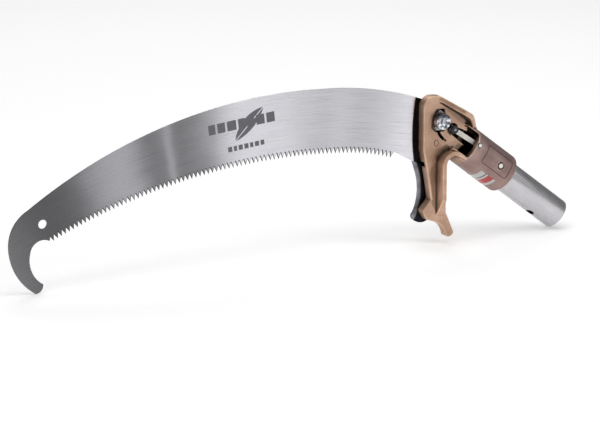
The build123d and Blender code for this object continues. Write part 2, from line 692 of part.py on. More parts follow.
with BuildPart() as spring_rivet:
    with BuildSketch(facing(STRIP_DEPTH - STRIP_T)):
        with Locations(strip_root):
            Circle(STRIP_RIVET_D / 2)
    extrude(amount=SPRING_RIVET_SEAT - STRIP_DEPTH + STRIP_T)
    with BuildSketch(facing(SPRING_RIVET_SEAT), facing(STRIP_DEPTH - STRIP_T - 1.0)):
        with Locations(strip_root):
            Circle(STRIP_RIVET_D / 2 + 0.9)
    extrude(amount=1.0)
write(spring_rivet.part, "spring_rivet")

# ---- ferrule tube, its rivet and the warning label -------------------------------------------------
with BuildPart() as tube:
    with BuildSketch(across_pole(0)):
        Circle(TUBE_R)
        Circle(TUBE_R - TUBE_WALL, mode=Mode.SUBTRACT)
    extrude(amount=TUBE_TOP - 0.2)
    with BuildSketch(across_pole(POLE_STOP)):
        Circle(TUBE_R)
        Circle(TUBE_R - TUBE_WALL - STOP_LIP, mode=Mode.SUBTRACT)
    extrude(amount=TUBE_TOP - 0.2 - POLE_STOP)
    with BuildSketch(facing(BLADE_SET - TUBE_D)):
        with Locations(pole_point(RIVET_FROM_MOUTH, RIVET_RISE)):
            Circle(RIVET_D / 2)
    extrude(amount=2 * TUBE_D, mode=Mode.SUBTRACT)
    with BuildSketch(
        Plane(
            origin=(-BUTTON_FROM_MOUTH * COS_P, 0, BUTTON_FROM_MOUTH * SIN_P),
            x_dir=(-COS_P, 0, SIN_P),
            z_dir=(-SIN_P * cos(BUTTON_TURN), -sin(BUTTON_TURN), -COS_P * cos(BUTTON_TURN)),
        )
    ):
        Circle(BUTTON_D / 2)
    extrude(amount=TUBE_D, mode=Mode.SUBTRACT)
write(tube.part, "ferrule_tube")

with BuildPart() as rivet:
    with BuildSketch(facing(BLADE_SET - SOCKET_R + RIVET_SINK)):
        with Locations(pole_point(RIVET_FROM_MOUTH, RIVET_RISE)):
            Circle(RIVET_D / 2)
    extrude(amount=2 * (SOCKET_R - RIVET_SINK))
    with BuildSketch(facing(RIM_NEAR - RIVET_SINK), facing(BLADE_SET - SOCKET_R + RIVET_SINK - 1.6)):
        with Locations(pole_point(RIVET_FROM_MOUTH, RIVET_RISE)):
            Circle(RIVET_HEAD_R)
    extrude(amount=1.6)
write(rivet.part, "tube_rivet")

with BuildPart() as label:
    with BuildSketch(across_pole(LABEL_FROM_MOUTH)):
        Circle(SOCKET_R + LABEL_T)
        Circle(SOCKET_R, mode=Mode.SUBTRACT)
        with BuildLine():
            Polyline(
                (0, 0),
                (3 * SOCKET_R * cos(radians(LABEL_NEAR)), -3 * SOCKET_R * sin(radians(LABEL_NEAR))),
                (3 * SOCKET_R * cos(radians(LABEL_FAR)), -3 * SOCKET_R * sin(radians(LABEL_FAR))),
                close=True,
            )
        make_face(mode=Mode.INTERSECT)
    extrude(amount=LABEL_W)
write(label.part, "warning_label")
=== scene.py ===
# %% [markdown]
# # Pole saw head: looks
# The object is the working end of a pruning pole: a long curved saw blade with a hooked tip,
# bolted into a bronze-painted cast head, and a short aluminium tube that takes the pole.
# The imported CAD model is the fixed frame.  This lesson builds the surfaces that are seen on top
# of it: the same places and sizes, with rounded castings, ground teeth and real finishes.

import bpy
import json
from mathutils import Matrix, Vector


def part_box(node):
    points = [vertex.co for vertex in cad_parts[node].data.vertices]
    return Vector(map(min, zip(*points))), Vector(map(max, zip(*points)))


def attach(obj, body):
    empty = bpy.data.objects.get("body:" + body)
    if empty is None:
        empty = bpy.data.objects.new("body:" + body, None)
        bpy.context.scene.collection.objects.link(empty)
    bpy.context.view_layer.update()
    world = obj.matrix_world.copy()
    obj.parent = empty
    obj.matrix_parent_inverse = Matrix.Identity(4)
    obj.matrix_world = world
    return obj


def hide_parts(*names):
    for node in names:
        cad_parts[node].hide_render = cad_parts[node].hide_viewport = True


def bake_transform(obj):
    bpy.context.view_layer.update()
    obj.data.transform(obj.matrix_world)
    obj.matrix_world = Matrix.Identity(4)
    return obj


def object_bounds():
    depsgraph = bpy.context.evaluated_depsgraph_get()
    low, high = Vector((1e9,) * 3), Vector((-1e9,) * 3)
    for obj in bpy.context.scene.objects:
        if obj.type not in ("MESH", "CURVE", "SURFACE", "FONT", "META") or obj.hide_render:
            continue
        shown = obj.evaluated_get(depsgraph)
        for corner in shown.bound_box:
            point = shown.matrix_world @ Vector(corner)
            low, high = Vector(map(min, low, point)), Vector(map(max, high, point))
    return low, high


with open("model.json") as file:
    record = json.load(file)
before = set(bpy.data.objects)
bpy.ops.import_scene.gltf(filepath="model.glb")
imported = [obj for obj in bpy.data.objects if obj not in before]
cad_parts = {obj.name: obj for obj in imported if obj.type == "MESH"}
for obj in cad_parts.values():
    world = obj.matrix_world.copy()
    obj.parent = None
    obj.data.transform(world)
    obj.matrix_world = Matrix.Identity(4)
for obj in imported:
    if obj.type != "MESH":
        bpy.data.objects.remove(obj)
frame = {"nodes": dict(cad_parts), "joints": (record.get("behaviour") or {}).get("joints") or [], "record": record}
cad_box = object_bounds()

# %% Imports and unit
import json
import math

import bmesh
import bpy
from mathutils import Vector
from mathutils.bvhtree import BVHTree

MM = 0.001
nodes = frame["nodes"]
joint = {j["name"]: j for j in frame["joints"]}

# %% [markdown]
# Places come from the frame.  The blade swings about the bolt, so the hinge's own position is
# the pivot.  The pole bore is a mount, and its axis gives the direction of the pole.  Three
# vectors at right angles, along the pole, above it and towards the bolt side, are enough to
# place everything on the socket and the tube.

# %% Pivot and pole directions
mount = {m["name"]: m for m in frame["record"]["mounts"]}
PIVOT = Vector(joint["blade_swing"]["pos_m"])
DOWN_POLE = Vector(mount["pole_bore"]["axis"]).normalized()
UP_POLE = -DOWN_POLE
FRONT = Vector((0, -1, 0))
RISE = UP_POLE.cross(FRONT).normalized()
if RISE.z < 0:
    RISE = -RISE
pole_rise = math.degrees(math.asin(UP_POLE.z))
print("pivot", [round(v, 4) for v in PIVOT], "pole rises", round(pole_rise, 1))


def on_pole(distance, rise, front=0.0):
    """Point distance up the pole from the tube's mouth, rise above its axis, front towards -Y, in mm."""
    return UP_POLE * (distance * MM) + RISE * (rise * MM) + FRONT * (front * MM)


def from_pivot(x, z, depth):
    """Point in mm from the pivot: x and z in the blade's plane, depth in front of its middle."""
    return PIVOT + Vector((x, -depth, z)) * MM


# %% [markdown]
# The camera comes early, because every later decision is judged through it.  It stands to the
# left of the object and a little above it, far away with a long lens, so the blade is hardly
# foreshortened by perspective.

# %% Camera
CAMERA_PLACE = (-1.7029, -2.7579, 0.8256)
CAMERA_AIM = Vector((-0.2951, 0.005, 0.0352))
LENS = 192


def add_camera():
    data = bpy.data.cameras.new("camera")
    data.lens = LENS
    data.sensor_width = 36
    camera = bpy.data.objects.new("camera", data)
    camera.location = CAMERA_PLACE
    aim = CAMERA_AIM - camera.location
    camera.rotation_euler = aim.to_track_quat("-Z", "Y").to_euler()
    bpy.context.scene.collection.objects.link(camera)
    bpy.context.scene.camera = camera
    return camera


camera = add_camera()
print("camera", [round(v, 3) for v in camera.location])

# %% [markdown]
# A studio for polished steel is mostly large white cards.  A tall softbox stands on the right, a
# weaker card on the left, a wide one overhead for the casting's upper edges and a weak one at the
# back.  The world is a pale sky, brighter towards its top, and the paper floor glows a little, so
# the shadow stays faint.

# %% Lights
AIM = Vector((-0.30, 0.0, 0.06))


def softbox(name, azimuth, elevation, distance, width, height, watts):
    """A rectangular light that faces the object; azimuth 0 is straight in front, 90 is +X."""
    a, e = math.radians(azimuth), math.radians(elevation)
    away = Vector((math.sin(a) * math.cos(e), -math.cos(a) * math.cos(e), math.sin(e)))
    data = bpy.data.lights.new(name, "AREA")
    data.shape = "RECTANGLE"
    data.size, data.size_y = width, height
    data.energy = watts
    light = bpy.data.objects.new(name, data)
    light.location = AIM + away * distance
    light.rotation_euler = (-away).to_track_quat("-Z", "Y").to_euler()
    bpy.context.scene.collection.objects.link(light)
    return light


lights = [
    softbox("key_right", 50, 30, 2.2, 0.8, 1.4, 9),
    softbox("card_left", -70, 40, 2.0, 0.6, 1.0, 3.5),
    softbox("card_top", 10, 82, 2.0, 2.4, 1.6, 15),
    softbox("card_back", 165, 45, 2.2, 1.4, 1.0, 7),
]
print("lights", len(lights))

# %% World and floor
SKY_LOW, SKY_HIGH = 0.13, 0.36      # strength of the sky at the horizon and high up


def add_world():
    world = bpy.data.worlds.new("studio")
    world.use_nodes = True
    tree = world.node_tree
    direction = tree.nodes.new("ShaderNodeTexCoord")
    parts = tree.nodes.new("ShaderNodeSeparateXYZ")
    tree.links.new(direction.outputs["Generated"], parts.inputs[0])
    sky = tree.nodes.new("ShaderNodeMapRange")
    for name, number in (("From Max", 0.8), ("To Min", SKY_LOW), ("To Max", SKY_HIGH)):
        sky.inputs[name].default_value = number
    tree.links.new(parts.outputs["Z"], sky.inputs["Value"])
    tree.nodes["Background"].inputs["Color"].default_value = (1, 1, 1, 1)
    tree.links.new(sky.outputs["Result"], tree.nodes["Background"].inputs["Strength"])
    bpy.context.scene.world = world


FLOOR_Z = cad_box[0][2] - 0.0004
FLOOR_GLOW = 0.30       # lit paper under the object, so its shadow stays faint


def add_floor():
    mesh = bpy.data.meshes.new("floor")
    reach = 9.0
    mesh.from_pydata([(-reach, -reach, FLOOR_Z), (reach, -reach, FLOOR_Z), (reach, reach, FLOOR_Z),
                      (-reach, reach, FLOOR_Z)], [], [(0, 1, 2, 3)])
    floor = bpy.data.objects.new("floor", mesh)
    bpy.context.scene.collection.objects.link(floor)
    paper = bpy.data.materials.new("white_paper")
    paper.use_nodes = True
    shader = paper.node_tree.nodes["Principled BSDF"]
    for name, value in (("Base Color", (0.93, 0.93, 0.93, 1)), ("Roughness", 0.85),
                        ("Specular IOR Level", 0.1), ("Emission Color", (1.0, 1.0, 1.0, 1)),
                        ("Emission Strength", FLOOR_GLOW)):
        shader.inputs[name].default_value = value
    mesh.materials.append(paper)
    return floor


add_world()
add_floor()
bpy.context.scene.view_settings.view_transform = "Standard"
print("floor at", round(FLOOR_Z, 4))

# %% [markdown]
# Materials are node trees, and the same few nodes come back in each.  The small class below keeps
# a tree and lets a finish be read as a list of steps: where the pattern sits, a noise or a wave,
# a ramp that turns it into colour or roughness, and a bump.  All patterns read Object coordinates,
# so they stay put when the blade swings.

# %% Material helper
class Finish:
    """A Principled material and short calls that add nodes to it."""

    def __init__(self, name, colour, metallic=0.0, roughness=0.5):
        self.material = bpy.data.materials.new(name)
        self.material.use_nodes = True
        self.tree = self.material.node_tree
        self.shader = self.tree.nodes["Principled BSDF"]
        self.shader.inputs["Base Color"].default_value = (*colour, 1)
        self.shader.inputs["Metallic"].default_value = metallic
        self.shader.inputs["Roughness"].default_value = roughness
        self.place = self.tree.nodes.new("ShaderNodeTexCoord").outputs["Object"]
        self.height = None

    def link(self, a, b):
        self.tree.links.new(a, b)

    def fill(self, socket, value):
        """Links an output, sets a number or a colour, and leaves None alone."""
        if isinstance(value, bpy.types.NodeSocket):
            self.link(value, socket)
        elif value is not None:
            socket.default_value = (*value, 1) if isinstance(value, tuple) else value

    def set(self, **values):
        for name, value in values.items():
            self.shader.inputs[name.replace("_", " ")].default_value = value

    def stretched(self, scale, turn=(0, 0, 0)):
        """Object coordinates turned and scaled."""
        node = self.tree.nodes.new("ShaderNodeMapping")
        node.vector_type = "TEXTURE"
        node.inputs["Rotation"].default_value = turn
        node.inputs["Scale"].default_value = [1.0 / s for s in scale]
        self.link(self.place, node.inputs["Vector"])
        return node.outputs["Vector"]

    def vector(self, operation, a, b=None, output="Vector"):
        """One Vector Math node; b is left out for a length."""
        node = self.tree.nodes.new("ShaderNodeVectorMath")
        node.operation = operation
        self.link(a, node.inputs[0])
        if b is not None:
            node.inputs[1].default_value = b
        return node.outputs[output]

    def along(self, direction):
        """Distance in mm from the origin along a direction."""
        return self.math("MULTIPLY", self.vector("DOT_PRODUCT", self.place, direction, "Value"), 1000.0)

    def away_from(self, centre, normal):
        """Distance in mm from the line through centre along normal."""
        offset = self.vector("SUBTRACT", self.place, centre)
        cross = self.vector("CROSS_PRODUCT", offset, normal)
        return self.math("MULTIPLY", self.vector("LENGTH", cross, output="Value"), 1000.0)

    def attribute(self, name):
        node = self.tree.nodes.new("ShaderNodeAttribute")
        node.attribute_name = name
        return node.outputs["Fac"]

    def noise(self, vector, scale, detail, roughness):
        node = self.tree.nodes.new("ShaderNodeTexNoise")
        node.inputs["Scale"].default_value = scale
        node.inputs["Detail"].default_value = detail
        node.inputs["Roughness"].default_value = roughness
        self.link(vector, node.inputs["Vector"])
        return node.outputs["Fac"]

    def grain(self, scale, detail=3.0, roughness=0.55, turn=(0, 0, 0)):
        """Noise with about this many cells to the metre along X, Y and Z."""
        return self.noise(self.stretched(scale, turn), 1.0, detail, roughness)

    def cells(self, scale):
        node = self.tree.nodes.new("ShaderNodeTexVoronoi")
        node.inputs["Scale"].default_value = 1.0
        self.link(self.stretched(scale), node.inputs["Vector"])
        return node.outputs["Distance"]

    def math(self, operation, a, b=None):
        node = self.tree.nodes.new("ShaderNodeMath")
        node.operation = operation
        self.fill(node.inputs[0], a)
        self.fill(node.inputs[1], b)
        return node.outputs[0]

    def remap(self, value, low, high, to_low, to_high):
        node = self.tree.nodes.new("ShaderNodeMapRange")
        for name, number in zip(("From Min", "From Max", "To Min", "To Max"), (low, high, to_low, to_high)):
            node.inputs[name].default_value = number
        self.link(value, node.inputs["Value"])
        return node.outputs["Result"]

    def ramp(self, value, *stops, kind="LINEAR"):
        """Colour ramp; each stop is (place, colour)."""
        node = self.tree.nodes.new("ShaderNodeValToRGB")
        band = node.color_ramp
        band.interpolation = kind
        while len(band.elements) < len(stops):
            band.elements.new(0.5)
        for element, (place, colour) in zip(band.elements, stops):
            element.position = place
            element.color = (*colour, 1)
        self.link(value, node.inputs["Fac"])
        return node.outputs["Color"]

    def mix(self, factor, a, b, blend="MIX"):
        node = self.tree.nodes.new("ShaderNodeMix")
        node.data_type = "RGBA"
        node.blend_type = blend
        for place, value in ((0, factor), (6, a), (7, b)):      # the colour sockets are 6 and 7
            self.fill(node.inputs[place], value)
        return node.outputs[2]

    def colour(self, output):
        self.link(output, self.shader.inputs["Base Color"])

    def rough(self, output):
        self.link(output, self.shader.inputs["Roughness"])

    def bump(self, output, strength, distance):
        """Adds a bump on top of any bump before it."""
        node = self.tree.nodes.new("ShaderNodeBump")
        node.inputs["Strength"].default_value = strength
        node.inputs["Distance"].default_value = distance
        self.link(output, node.inputs["Height"])
        if self.height is not None:
            self.link(self.height, node.inputs["Normal"])
        self.height = node.outputs["Normal"]
        self.link(self.height, self.shader.inputs["Normal"])


print("material helper ready")

# %% [markdown]
# The blade was ground along its length, on an arc.  Its lines therefore follow circles about the
# centre of the tooth line, so the pattern is made in polar form: the radius changes fast and the
# angle slowly.  Grooves like that spread light across themselves, which is what the anisotropic
# setting does when its tangent points along the radius.  The broad light and dark bands that a
# studio leaves on such steel are part of its colour here, so they don't change with the light.

# %% The tooth line as two arcs
CUT_LENGTH = 381.0
TOOTH_COUNT = 84
TOOTH_DEPTH = 6.0
BLADE_HALF = 0.8
CUT_RADIUS = 652.5
HEEL_RADIUS = 247.0
HEEL_RUN = 58.0
HEEL_FALL = math.radians(17.9)
HEEL = (-48.5, -36.8)
HEEL_CENTRE = (HEEL[0] - HEEL_RADIUS * math.sin(HEEL_FALL), HEEL[1] - HEEL_RADIUS * math.cos(HEEL_FALL))
JOINT_TURN = HEEL_FALL - HEEL_RUN / HEEL_RADIUS     # where the heel's arc meets the long one


def tooth_line(s):
    """Tooth tip place s mm from the heel, in mm from the pivot, and the normal towards the spine."""
    centre_x, centre_z = HEEL_CENTRE
    turn = HEEL_FALL - s / HEEL_RADIUS
    radius = HEEL_RADIUS
    if s > HEEL_RUN:
        turn = JOINT_TURN - (s - HEEL_RUN) / CUT_RADIUS
        radius = CUT_RADIUS
        centre_x += (HEEL_RADIUS - CUT_RADIUS) * math.sin(JOINT_TURN)
        centre_z += (HEEL_RADIUS - CUT_RADIUS) * math.cos(JOINT_TURN)
    normal = Vector((math.sin(turn), 0, math.cos(turn)))
    return Vector((centre_x, 0, centre_z)) + normal * radius, normal


tip_point, tip_normal = tooth_line(CUT_LENGTH)
SWEEP_CENTRE = PIVOT + (tip_point - tip_normal * CUT_RADIUS) * MM
print("sweep centre", [round(v, 3) for v in SWEEP_CENTRE])

# %% Blade steel
def sweep_coordinates(finish):
    """Angle along the sweep, radius across it, and the direction of the radius."""
    flat = finish.vector("MULTIPLY", finish.vector("SUBTRACT", finish.place, SWEEP_CENTRE), (1, 0, 1))
    radius = finish.vector("LENGTH", flat, output="Value")
    parts = finish.tree.nodes.new("ShaderNodeSeparateXYZ")
    finish.link(flat, parts.inputs[0])
    angle = finish.math("ARCTAN2", parts.outputs["X"], parts.outputs["Z"])
    return angle, radius, flat


# mm from the heel along the teeth, and the tone there of the studio's painted reflection in the steel's colour
PAINTED_REFLECTION_BANDS = ((-20, 0.98), (0, 0.88), (22, 0.70), (45, 0.66), (62, 0.78), (80, 0.70), (100, 0.78), (125, 0.92),
         (165, 0.98), (182, 0.84), (203, 0.40), (222, 0.28), (236, 0.27), (243, 0.56), (250, 0.27),
         (266, 0.26), (284, 0.58), (306, 0.50), (322, 0.44), (342, 0.18), (375, 0.14), (400, 0.17),
         (440, 0.30))
BLADE_TINT = (0.87, 0.858, 0.906)
SWEEP_LOW, SWEEP_HIGH = -0.55, 0.20     # angles on the sweep where the ramp starts and ends
BLACK_R = 200.0             # the blade's painted dark reflection of the casting ends on an arc of this radius
BLACK_REACH = 25.6          # that reaches this far left of the pivot
BLACK_MIDDLE = -14.0        # and has its middle this far above it


def sweep_place(s):
    """Place of a point s mm from the heel on the ramp that runs from the tip to the heel."""
    angle = JOINT_TURN - (s - HEEL_RUN) / CUT_RADIUS
    return (angle - SWEEP_LOW) / (SWEEP_HIGH - SWEEP_LOW)


def blade_steel():
    finish = Finish("blade_steel", (0.60, 0.60, 0.62), metallic=1.0, roughness=0.3)
    angle, radius, outward = sweep_coordinates(finish)
    lines = finish.tree.nodes.new("ShaderNodeCombineXYZ")
    finish.link(finish.math("MULTIPLY", angle, 14.0), lines.inputs["X"])
    finish.link(finish.math("MULTIPLY", radius, 2200.0), lines.inputs["Y"])
    grind = finish.noise(lines.outputs[0], 1.0, 4.0, 0.6)
    broad = finish.grain((30, 30, 30), 2.0, 0.5)
    wander = finish.remap(broad, 0.3, 0.7, -0.004, 0.004)
    place = finish.remap(finish.math("ADD", angle, wander), SWEEP_LOW, SWEEP_HIGH, 0.0, 1.0)
    stops = [(sweep_place(at), tuple(tone * tint for tint in BLADE_TINT)) for at, tone in reversed(PAINTED_REFLECTION_BANDS)]
    # painted reflection: the studio's broad light and dark bands, painted into the steel's colour along the sweep
    bands = finish.ramp(place, *stops, kind="B_SPLINE")
    fine = finish.ramp(grind, (0.30, (0.72, 0.72, 0.73)), (0.56, (1.0, 1.0, 1.0)))
    ground = finish.mix(1.0, bands, fine, "MULTIPLY")
    # painted reflection: the steel is painted near black right of the pivot, under the casting, and inside an arc
    # beside it, for the casting's dark side wall reflected there
    dark_arc_centre = from_pivot(BLACK_R - BLACK_REACH, BLACK_MIDDLE, 0)
    reach = finish.away_from(dark_arc_centre, (0, 1, 0))
    left = finish.remap(finish.along((1, 0, 0)), PIVOT.x / MM, PIVOT.x / MM + 1, 0.0, 1.0)
    dark_arc = finish.remap(reach, BLACK_R - 0.4, BLACK_R + 0.4, 1.0, 0.0)
    blacked = finish.math("MAXIMUM", left, dark_arc)
    finish.colour(finish.mix(blacked, ground, (0.012, 0.012, 0.014)))
    finish.rough(finish.remap(grind, 0.25, 0.75, 0.22, 0.36))
    finish.bump(grind, 0.20, 0.00005)
    finish.set(Anisotropic=0.75)
    world = finish.tree.nodes.new("ShaderNodeVectorTransform")
    world.vector_type = "VECTOR"
    world.convert_from = "OBJECT"
    world.convert_to = "WORLD"
    finish.link(outward, world.inputs[0])
    finish.link(world.outputs[0], finish.shader.inputs["Tangent"])
    return finish.material


STEEL = blade_steel()
print(STEEL.name, len(STEEL.node_tree.nodes), "nodes")

# %% [markdown]
# The ground flanks of the teeth are painted much darker than the plate, a painted shade for facets
# that face away from the bright cards, and carry short marks straight across the edge, left by the
# grinding wheel.  The etched mark is a dull grey, because acid roughens steel.

# %% Tooth and etch finishes
def ground_and_shaded_flank():
    finish = Finish("ground_and_shaded_flank", (0.14, 0.14, 0.15), metallic=1.0, roughness=0.25)
    marks = finish.grain((2600, 600, 500), 2.0)
    finish.rough(finish.remap(marks, 0.3, 0.7, 0.18, 0.34))
    # painted shade: the flank's colour is near black, for facets that face away from the cards
    finish.colour(finish.ramp(marks, (0.2, (0.035, 0.035, 0.04)), (0.8, (0.14, 0.14, 0.15))))
    finish.bump(marks, 0.15, 0.00005)
    return finish.material


def etched_steel():
    finish = Finish("etched_steel", (0.20, 0.20, 0.22), metallic=0.6, roughness=0.6)
    speckle = finish.grain((1500, 1500, 1500), 4.0)
    finish.colour(finish.ramp(speckle, (0.3, (0.10, 0.10, 0.115)), (0.7, (0.25, 0.25, 0.27))))
    finish.rough(finish.remap(speckle, 0.3, 0.7, 0.5, 0.75))
    finish.bump(speckle, 0.2, 0.00005)
    return finish.material


FLANK = ground_and_shaded_flank()
ETCH = etched_steel()
print(FLANK.name, ETCH.name)

# %% [markdown]
# The head is sand-cast and sprayed with a metallic bronze paint.  Three things make such a paint
# believable: tiny bright flakes, the orange-peel and sand texture of the casting under it, and
# edges where handling has worn it towards a lighter, shinier tone.  In deep pockets and sharp inside
# corners the paint is painted near black, a painted shade where little light gets in.  Wear and
# painted shade each read an attribute that is worked out from the shape later, so they follow the
# real edges and hollows.  The socket is painted darker and browner than the web and the arm, a
# painted shade on a casting that has one paint.

# %% Bronze paint
SOCKET_STARTS = 138.0       # mm up the pole, where the web ends and the socket begins
SOCKET_R = 21.0
WEB_TONES = ((0.44, 0.265, 0.180), (0.72, 0.475, 0.345))
# darker tones for the socket: painted shade on a casting that has one paint
SHADED_SOCKET_TONES = ((0.24, 0.15, 0.14), (0.42, 0.29, 0.265))
WORN_EDGE = (0.92, 0.70, 0.48)
# near-black painted shade for the paint in hollows and sharp inside corners
PAINTED_SHADE = (0.022, 0.014, 0.010)


def bronze_paint(name, web_tones, shaded_socket_tones, worn):
    finish = Finish(name, web_tones[1], metallic=0.75, roughness=0.42)
    wide = finish.grain((40, 40, 40), 3.0)
    sand = finish.grain((1100, 1100, 1100), 3.0, 0.6)
    flakes = finish.cells((2600, 2600, 2600))
    web = finish.ramp(wide, (0.30, web_tones[0]), (0.70, web_tones[1]))
    socket = finish.ramp(wide, (0.30, shaded_socket_tones[0]), (0.70, shaded_socket_tones[1]))
    up_pole = finish.remap(finish.along(UP_POLE), SOCKET_STARTS - 3, SOCKET_STARTS + 5, 0.0, 1.0)
    beside = finish.remap(finish.away_from((0, 0, 0), UP_POLE), SOCKET_R + 2, SOCKET_R + 8, 0.0, 1.0)
    # painted shade: the socket takes the darker tones, the web and arm the lighter ones
    base = finish.mix(finish.math("MAXIMUM", up_pole, beside), socket, web)
    glint = finish.ramp(flakes, (0.10, (1.25, 1.22, 1.18)), (0.45, (0.94, 0.94, 0.94)))
    painted = finish.mix(1.0, base, glint, "MULTIPLY")
    # painted shade: the paint goes near black where the point is shut in
    thin = finish.remap(finish.attribute("hollow"), 0.20, 0.56, 0.0, 0.94)
    paint_in_shade = finish.mix(thin, painted, PAINTED_SHADE)
    broken = finish.math("MULTIPLY", finish.attribute("edge_wear"),
                         finish.remap(wide, 0.35, 0.6, 0.55, 1.0))
    finish.colour(finish.mix(broken, paint_in_shade, worn))
    finish.rough(finish.remap(sand, 0.3, 0.7, 0.34, 0.52))
    finish.bump(sand, 0.35, 0.00012)
    finish.bump(wide, 0.15, 0.0006)
    finish.set(Coat_Weight=0.15, Coat_Roughness=0.25)
    return finish.material


BRONZE = bronze_paint("bronze_paint", WEB_TONES, SHADED_SOCKET_TONES, WORN_EDGE)
print(BRONZE.name)

# %% [markdown]
# The small hardware has more finishes: bare rolled steel, bright zinc for the fasteners, chrome
# for the bolt and blackened steel for the knob.  The chrome has painted reflections: dark patches
# and a dark upper half.  The knife is bare near its hollow edge and painted near black where it is
# clamped, a painted shade and dark reflection of the arm's wall.  A rivet is bright in the middle
# and painted dark at its rim, a painted shade, and it needs its own centre for that, so the two
# rivets get theirs further down.

# %% Hardware finishes
KNIFE_R = 68.0              # hollow edge of the knife, an arc in mm about a centre from the pivot
KNIFE_CENTRE = (-84.9, -72.0)


def rolled_steel(name, colour, roughness, low, high):
    """Steel with a cloudy scale between two tones and fine drawn lines; gives the finish and tone."""
    finish = Finish(name, colour, metallic=1.0, roughness=roughness)
    scale = finish.grain((160, 160, 160), 5.0, 0.6)
    drawn = finish.grain((1400, 1400, 60), 3.0)
    finish.rough(finish.remap(drawn, 0.3, 0.7, 0.32, 0.55))
    finish.bump(drawn, 0.2, 0.00006)
    return finish, finish.ramp(scale, (0.30, low), (0.70, high))


def bare_steel():
    finish, tone = rolled_steel("bare_steel", (0.33, 0.33, 0.35), 0.42, (0.20, 0.20, 0.21),
                                (0.42, 0.42, 0.44))
    finish.colour(tone)
    return finish.material


def zinc_plate():
    finish = Finish("zinc_plate", (0.70, 0.70, 0.72), metallic=1.0, roughness=0.28)
    spangle = finish.cells((700, 700, 700))
    cloud = finish.grain((260, 260, 260), 3.0)
    finish.colour(finish.ramp(cloud, (0.3, (0.58, 0.58, 0.59)), (0.7, (0.80, 0.80, 0.81))))
    finish.rough(finish.remap(spangle, 0.0, 0.8, 0.20, 0.36))
    finish.bump(cloud, 0.1, 0.00005)
    return finish.material


def chrome_plate():
    finish = Finish("chrome_plate", (0.80, 0.81, 0.84), metallic=1.0, roughness=0.10)
    haze = finish.grain((240, 240, 240), 3.0)
    # painted reflection: dark patches in the chrome's colour
    marks = finish.ramp(haze, (0.42, (0.10, 0.11, 0.14)), (0.56, (0.80, 0.81, 0.84)))
    # painted reflection: the bolt is painted dark above the pivot
    above = finish.remap(finish.along((0, 0, 1)), PIVOT.z / MM + 0.5, PIVOT.z / MM + 5.0, 0.0, 0.9)
    finish.colour(finish.mix(above, marks, (0.05, 0.055, 0.075)))
    finish.rough(finish.remap(haze, 0.35, 0.7, 0.20, 0.08))
    finish.bump(haze, 0.35, 0.0004)
    return finish.material


def blackened_steel():
    finish = Finish("blackened_steel", (0.035, 0.037, 0.042), metallic=0.85, roughness=0.33)
    rings = finish.grain((900, 200, 900), 3.0)
    finish.colour(finish.ramp(rings, (0.3, (0.022, 0.023, 0.027)), (0.75, (0.075, 0.078, 0.086))))
    finish.rough(finish.remap(rings, 0.3, 0.7, 0.24, 0.42))
    finish.bump(rings, 0.15, 0.00005)
    return finish.material


def rivet_metal(name, centre, bright, dark):
    """Rivet with a bright crown and a rim painted dark, a painted shade at its edge; radii in mm."""
    finish = Finish(name, (0.80, 0.78, 0.76), metallic=1.0, roughness=0.25)
    dents = finish.grain((600, 600, 600), 3.0)
    crown = finish.ramp(dents, (0.3, (0.50, 0.48, 0.46)), (0.6, (0.86, 0.83, 0.79)))
    rim = finish.remap(finish.away_from(centre, (0, 1, 0)), bright, dark, 0.0, 0.95)
    # painted shade: the rim is painted dark
    finish.colour(finish.mix(rim, crown, (0.06, 0.035, 0.03)))
    finish.rough(finish.remap(dents, 0.3, 0.7, 0.18, 0.34))
    finish.bump(dents, 0.15, 0.0002)
    return finish.material


def knife_steel():
    """Bare towards its hollow edge, painted near black where it is clamped: painted shade and dark reflection of
    the arm's wall.
    """
    finish, bare = rolled_steel("knife_steel", (0.33, 0.33, 0.36), 0.4, (0.16, 0.165, 0.19),
                                (0.36, 0.37, 0.41))
    edge = finish.away_from(from_pivot(*KNIFE_CENTRE, 0), (0, 1, 0))
    # painted shade and reflection: near black beyond the hollow edge's arc, along the arm
    black = finish.remap(edge, KNIFE_R + 2.0, KNIFE_R + 3.6, 0.0, 1.0)
    finish.colour(finish.mix(black, bare, (0.016, 0.016, 0.02)))
    return finish.material


KNIFE = knife_steel()
BARE = bare_steel()
ZINC = zinc_plate()
CHROME = chrome_plate()
BLACK = blackened_steel()
print("hardware finishes", [material.name for material in (KNIFE, BARE, ZINC, CHROME, BLACK)])

# %% [markdown]
# The leaf spring is rolled stainless, barely metallic so that it stays pale in its dark slot.  The
# tube is drawn aluminium with lines along its axis, and the lock nut's ring is milky nylon.  The
# label is printed vinyl in plain blocks of red, pale and dark grey.

# %% Strip, tube, nylon and vinyl finishes
POLE_TURN = (0, math.atan2(-UP_POLE.z, UP_POLE.x), 0)


